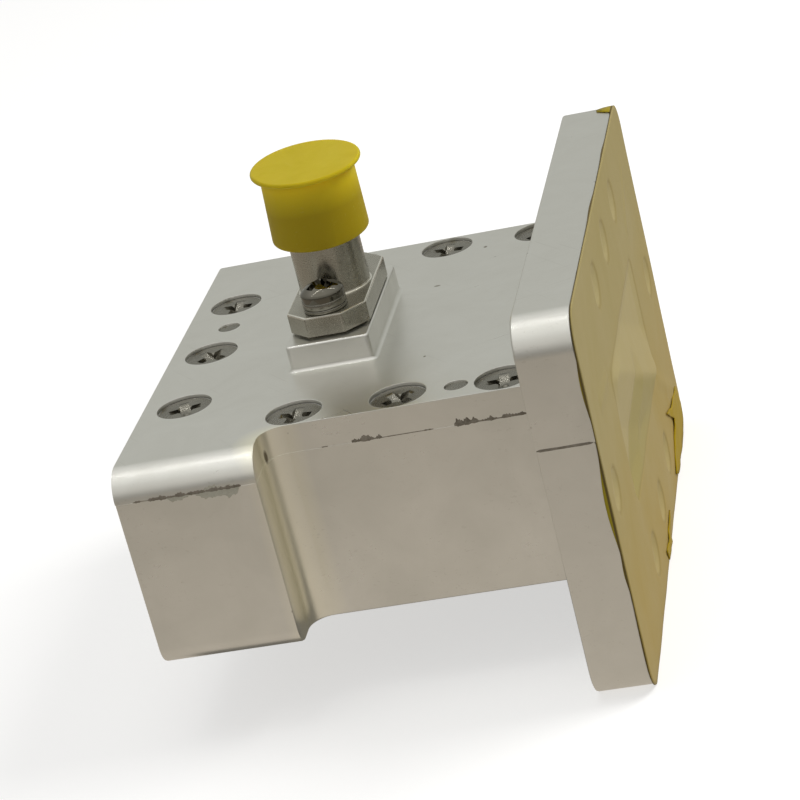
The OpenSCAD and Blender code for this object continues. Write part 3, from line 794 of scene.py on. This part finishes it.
def film_fold(name, corners):
    """A patch of film folded double, which lies on the sheet and lifts a little off it."""
    bm = bmesh.new()
    bm.faces.new([bm.verts.new((FOLD_STAND, y, z)) for y, z in corners])
    bm.normal_update()
    bmesh.ops.triangulate(bm, faces=bm.faces)
    bmesh.ops.subdivide_edges(bm, edges=bm.edges, cuts=FOLD_CUTS, use_grid_fill=True)
    for vert in bm.verts:
        place = Vector((FOLD_LIFT_SEED, vert.co.y / FOLD_LIFT_Y, vert.co.z / FOLD_LIFT_Z))
        vert.co.x += FOLD_LIFT * abs(noise.noise(place))
    bmesh.ops.recalc_face_normals(bm, faces=bm.faces)
    piece = finished_piece(name, bm, FOLDED_FILM)
    thick = piece.modifiers.new("double_film", "SOLIDIFY")
    thick.thickness = 2 * FILM_THICKNESS * MM
    thick.offset = 0.0
    return piece


def protective_film():
    """The film: laid on the flange face, sagging into its openings, with a lip over the flange's edges."""
    low, high = (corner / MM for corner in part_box("lower_half"))
    half_y = high.y + FILM_STAND
    half_z = (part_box("upper_half")[1].z / MM - low.z) / 2 + FILM_STAND
    bm = flat_grid(2 * half_y, 2 * half_z, FILM_STEP)
    loose, fold_shade, turned = (bm.verts.layers.float.new(name) for name in ("loose", "fold_shade", "turned"))
    for vert in bm.verts:
        y, z = vert.co.x, vert.co.y
        corner = Vector((abs(y) - (half_y - FILM_CORNER), abs(z) - (half_z - FILM_CORNER)))
        if corner.x > 0 and corner.y > 0:
            pulled = corner.normalized() * max(corner)
            y = math.copysign(half_y - FILM_CORNER + pulled.x, y)
            z = math.copysign(half_z - FILM_CORNER + pulled.y, z)
        vert.co = (film_stand(y, z), y, z)
        in_hole, in_mouth = inside_bolt_hole(y, z), inside_guide(y, z)
        vert[loose] = max(0.0, min(1.0, in_hole / LOOSE_RUN), min(1.0, in_mouth / LOOSE_RUN))
        # Mask for the painted shade where the film hangs deepest past its folds.
        shaded = 0.5 + under_folds(y, z) / FOLD_SHADE_RUN
        vert[fold_shade] = max(0.0, min(1.0, in_mouth / FILM_STEP, shaded))
    lip = bmesh.ops.extrude_edge_only(bm, edges=[edge for edge in bm.edges if edge.is_boundary])["geom"]
    for vert in (part for part in lip if isinstance(part, bmesh.types.BMVert)):
        y, z = vert.co.y, vert.co.z
        inner = Vector((max(-half_y + FILM_CORNER, min(half_y - FILM_CORNER, y)),
                        max(-half_z + FILM_CORNER, min(half_z - FILM_CORNER, z))))
        outward = (Vector((y, z)) - inner).normalized()
        overlap = max(0.0, -outward.x) * lip_overlap(z, NEAR_LIP_RISES)
        overlap += max(0.0, outward.y) * lip_overlap(y, TOP_LIP_RISES)
        vert[turned] = FILM_STAND + FILM_LIP + overlap
        vert.co.x = -FILM_LIP - overlap
    bmesh.ops.recalc_face_normals(bm, faces=bm.faces)
    piece = finished_piece("film", bm, FILM_PLASTIC, ["protective_film"])
    thick = piece.modifiers.new("film_thickness", "SOLIDIFY")
    thick.thickness = FILM_THICKNESS * MM
    thick.offset = 0.0
    folds = [film_fold("film_fold_far", FAR_FOLD), film_fold("film_fold_low", LOW_FOLD)]


def seam_noise(along, number, seed):
    """A random form along one stretch of the seam."""
    step, layer = seed
    return noise.noise(Vector((along, number * step, layer)))


def seam_residue(name, stretches, material, proud):
    """Ragged filler squeezed out of the seam between the halves, on the near side only."""
    seam_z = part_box("upper_half")[0].z / MM
    for number, (start, end, face_y, low, high, teeth, hang) in enumerate(stretches):
        length = end - start
        bm = flat_grid(length, 1.0, SEAM_STEP)
        upright = [edge for edge in bm.edges if abs(edge.verts[0].co.y - edge.verts[1].co.y) > 0.5]
        bmesh.ops.subdivide_edges(bm, edges=upright, cuts=SEAM_CUTS, use_grid_fill=True)
        for vert in bm.verts:
            along, across = vert.co.x + length / 2, vert.co.y
            taper = min(1.0, along / SEAM_END_RUN, (length - along) / SEAM_END_RUN)
            coarse = seam_noise(along * teeth, number, SEAM_COARSE_SEED)
            fine = seam_noise(along * teeth * SEAM_FINE_TEETH, number, SEAM_FINE_SEED)
            ragged = round(coarse * SEAM_TEETH_LEVELS) / SEAM_TEETH_LEVELS + SEAM_FINE_SHARE * fine
            tall = low + (high - low) * along / length
            tall *= max(SEAM_LEAST, SEAM_USUAL + ragged * min(1.0, teeth))
            tall *= SEAM_END_SHARE + (1 - SEAM_END_SHARE) * taper
            shift = SEAM_DRIFT * seam_noise(along * SEAM_DRIFT_RATE, number, SEAM_DRIFT_SEED) * high
            vert.co = (start + along, face_y - proud * (1 - SEAM_CROWN * across * across),
                       seam_z + shift + tall * (across + 0.5 - hang))
        bmesh.ops.recalc_face_normals(bm, faces=bm.faces)
        piece = finished_piece(f"{name}_{number + 1}", bm, material)
        back = piece.modifiers.new("residue_body", "SOLIDIFY")
        back.thickness = proud * MM
        back.offset = -1.0


def table_tone(tree):
    """The table's tone: darker further out and dark in the object's own shade."""
    place = in_millimetres(tree)
    middle = (CAD_BOX[0] + CAD_BOX[1]) / (2 * MM)
    under = (middle.x, middle.y, floor_level())
    away = put(tree, "ShaderNodeVectorMath", {"operation": "DISTANCE"}, _0=place, _1=under).outputs["Value"]
    far = spread(tree, away, TABLE_NEAR_TO, TABLE_FAR_FROM)
    tone = blend_colours(tree, far, TABLE_NEAR_TONE, TABLE_FAR_TONE)
    end = spread(tree, away, TABLE_FAR_FROM, TABLE_END_FROM)
    tone = blend_colours(tree, end, tone, TABLE_END_TONE)
    parts = put(tree, "ShaderNodeSeparateXYZ", Vector=place)
    beyond = []
    for axis, centre, half in (("X", middle.x, TABLE_SHADE_HALF_X), ("Y", middle.y, TABLE_SHADE_HALF_Y)):
        off = sum_up(tree, "ABSOLUTE", sum_up(tree, "SUBTRACT", parts.outputs[axis], centre))
        beyond.append(sum_up(tree, "SUBTRACT", off, half))
    lit = spread(tree, sum_up(tree, "MAXIMUM", *beyond), 0.0, TABLE_SHADE_SOFT)
    return blend_colours(tree, lit, TABLE_SHADE_TONE, tone)


def room_tone(tree):
    """The walls' tone: dark low in front, even at the back and bright under the ceiling."""
    parts = put(tree, "ShaderNodeSeparateXYZ", Vector=in_millimetres(tree))
    rise = spread(tree, parts.outputs["Z"], ROOM_LOW_TO, ROOM_FRONT_FROM)
    front = blend_colours(tree, rise, ROOM_LOW_TONE, ROOM_FRONT_TONE)
    back = spread(tree, parts.outputs["Y"], -ROOM_CARD_R, ROOM_CARD_R)
    walls = blend_colours(tree, back, front, ROOM_BACK_TONE)
    high = spread(tree, parts.outputs["Z"], ROOM_HIGH_FROM, ROOM_CARD_HIGH)
    return blend_colours(tree, high, walls, ROOM_HIGH_TONE)


def ceiling_tone(tree):
    """The ceiling's tone: brightest at its light."""
    place = in_millimetres(tree)
    away = put(tree, "ShaderNodeVectorMath", {"operation": "DISTANCE"}, _0=place, _1=CEILING_LIGHT_AT)
    fade = spread(tree, away.outputs["Value"], 0.0, CEILING_FADE)
    return blend_colours(tree, fade, CEILING_LIGHT_TONE, ROOM_HIGH_TONE)


def lamp_tone(tree):
    """The tube lamp's plain white."""
    return SKY_COLOUR


def reflected_card(name, bm, tone, glow=CARD_GLOW):
    """A card that only reflections see, as the table, the room and the lamp round a photographer.

    A plain card isn't sampled as a lamp, which leaves less grain on the metal.
    """
    material = bpy.data.materials.new(name)
    material.use_nodes = True
    tree = material.node_tree
    tree.nodes.clear()
    shining = put(tree, "ShaderNodeEmission", Color=tone(tree), Strength=glow)
    out = tree.nodes.new("ShaderNodeOutputMaterial")
    tree.links.new(shining.outputs[0], out.inputs["Surface"])
    if glow == CARD_GLOW:
        material.cycles.emission_sampling = "NONE"
    card = stage_piece(name, bm, material)
    card.visible_camera = card.visible_diffuse = card.visible_shadow = False
    card.visible_transmission = card.visible_volume_scatter = False


def floor_level():
    """Height of the floor, just under the object."""
    return CAD_BOX[0].z / MM - FLOOR_DROP


def stage_piece(name, bm, material):
    """A piece of the stage from a bmesh in millimetres."""
    bmesh.ops.scale(bm, vec=(MM, MM, MM), verts=bm.verts)
    mesh = bpy.data.meshes.new(name)
    bm.to_mesh(mesh)
    bm.free()
    mesh.materials.append(material)
    piece = bpy.data.objects.new(name, mesh)
    bpy.context.scene.collection.objects.link(piece)
    return piece


def seen_rays(tree):
    """1 for rays that see a surface straight, in a reflection or through something, and 0 for the rest."""
    rays = tree.nodes.new("ShaderNodeLightPath")
    seen = sum_up(tree, "MAXIMUM", rays.outputs["Is Camera Ray"], rays.outputs["Is Glossy Ray"])
    return sum_up(tree, "MAXIMUM", seen, rays.outputs["Is Transmission Ray"])


def sky():
    """A white sky that lights the object less than it is seen."""
    world = bpy.data.worlds.new("white_sky")
    world.use_nodes = True
    bpy.context.scene.world = world
    tree = world.node_tree
    tree.nodes.clear()
    strength = spread(tree, seen_rays(tree), 0.0, 1.0, SKY_FILL, SKY_SEEN)
    shining = put(tree, "ShaderNodeBackground", Color=SKY_COLOUR, Strength=strength)
    out = tree.nodes.new("ShaderNodeOutputWorld")
    tree.links.new(shining.outputs[0], out.inputs["Surface"])


def floor():
    """A pale level floor that keeps the object's shadow."""
    material, tree, surface = new_material("floor_paper", 0.0, 0.9)
    surface.inputs["Specular IOR Level"].default_value = 0.0
    surface.inputs["Emission Color"].default_value = SKY_COLOUR
    glow = spread(tree, seen_rays(tree), 0.0, 1.0, 0.0, FLOOR_GLOW)
    tree.links.new(glow, surface.inputs["Emission Strength"])
    tone = group_node(tree, MOTTLE, Place=in_millimetres(tree), Cloud=0.01, Grain=2.0)["Tone"]
    paler = [part * FLOOR_PALER for part in FLOOR_COLOUR[:3]] + [1.0]
    tree.links.new(blend_colours(tree, tone, FLOOR_COLOUR, paler), surface.inputs["Base Color"])
    bm = flat_grid(2 * FLOOR_HALF, 2 * FLOOR_HALF, FLOOR_HALF)
    bmesh.ops.translate(bm, vec=(0, 0, floor_level()), verts=bm.verts)
    stage_piece("floor", bm, material)


def card_disc(radius, height):
    """A level disc about the frame's upright axis."""
    bm = bmesh.new()
    bmesh.ops.create_circle(bm, cap_ends=True, segments=CARD_SIDES, radius=radius)
    bmesh.ops.translate(bm, vec=(0, 0, height), verts=bm.verts)
    return bm


def reflections():
    """Cards that the metal mirrors: the table, the walls, the ceiling and a tube lamp."""
    reflected_card("table_card", card_disc(TABLE_CARD_R, floor_level() + FLOOR_DROP / 2), table_tone)

    bm = bmesh.new()
    ends = [bm.verts.new((0, -ROOM_CARD_R, height)) for height in (floor_level(), ROOM_CARD_HIGH)]
    post = bm.edges.new(ends)
    bmesh.ops.spin(bm, geom=[*ends, post], angle=math.tau, steps=CARD_SIDES, axis=(0, 0, 1), use_merge=True)
    reflected_card("room_card", bm, room_tone)

    reflected_card("ceiling_card", card_disc(ROOM_CARD_R, ROOM_CARD_HIGH), ceiling_tone)

    bm = flat_grid(TUBE_LAMP_LONG, TUBE_LAMP_WIDE, TUBE_LAMP_LONG)
    facing = Vector(TUBE_LAMP_AT).to_track_quat("Z", "Y").to_matrix()
    bmesh.ops.transform(bm, matrix=Matrix.Translation(TUBE_LAMP_AT) @ facing.to_4x4(), verts=bm.verts)
    reflected_card("tube_lamp", bm, lamp_tone, TUBE_LAMP_GLOW)


def lamps():
    """Two soft lamps, one overhead and one beside the flange, that no reflection shows."""
    for name, place, size, watts in (TOP_LAMP, SIDE_LAMP):
        lamp = bpy.data.lights.new(name, "AREA")
        lamp.size = size * MM
        lamp.energy = watts
        hung = bpy.data.objects.new(name, lamp)
        hung.location = Vector(place) * MM
        hung.rotation_euler = Vector(place).to_track_quat("Z", "Y").to_euler()
        hung.visible_glossy = False
        bpy.context.scene.collection.objects.link(hung)


def camera():
    """The photograph's view."""
    lens = bpy.data.cameras.new("view")
    lens.sensor_width = CAMERA_SENSOR
    lens.lens = CAMERA_LENS
    lens.clip_start, lens.clip_end = (reach * MM for reach in CAMERA_CLIP)
    view = bpy.data.objects.new("view", lens)
    back = CAMERA_BACK.normalized()
    right = CAMERA_UP.cross(back).normalized()
    up = back.cross(right)
    turned = Matrix((right, up, back)).transposed().to_4x4()
    view.matrix_world = Matrix.Translation(CAMERA_AT * MM) @ turned
    bpy.context.scene.collection.objects.link(view)
    bpy.context.scene.camera = view


def dress(node, material):
    """Gives a CAD node that keeps its own shape its finish."""
    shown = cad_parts[node]
    shown.data.materials.clear()
    shown.data.materials.append(material)


bpy.context.scene.view_settings.view_transform = "Standard"
broken_edges("lower_block", "lower_half", BLOCK_EDGE, ALUMINIUM)
broken_edges("lid_block", "upper_half", BLOCK_EDGE, ALUMINIUM)
broken_edges("lid_screw_heads", "lid_screws", SCREW_EDGE, SCREW_STEEL)
broken_edges("dowels", "dowel_pins", SCREW_EDGE, SCREW_STEEL)
broken_edges("jack_shell", "jack_body", JACK_EDGE, JACK_STEEL)
broken_edges("jack_screw_heads", "jack_screws", 0, BRIGHT_STEEL)
broken_edges("washers", "flat_washers", WASHER_EDGE, WASHER_STEEL)
broken_edges("split_washers", "spring_washers", WASHER_EDGE, WASHER_STEEL)
broken_edges("cap", "dust_cap", CAP_EDGE, CAP_PLASTIC, CAP_EDGE_STEPS)
dress("jack_insulator", INSULATOR)
dress("centre_contact", CONTACT_GOLD)
protective_film()
seam_residue("seam_residue", SEAM_STRETCHES, SEAM_FILLER, SEAM_PROUD)
seam_residue("seam_smear", SEAM_SMEARS, SEAM_SMEAR, SEAM_PROUD / 2)
sky()
floor()
reflections()
lamps()
camera()
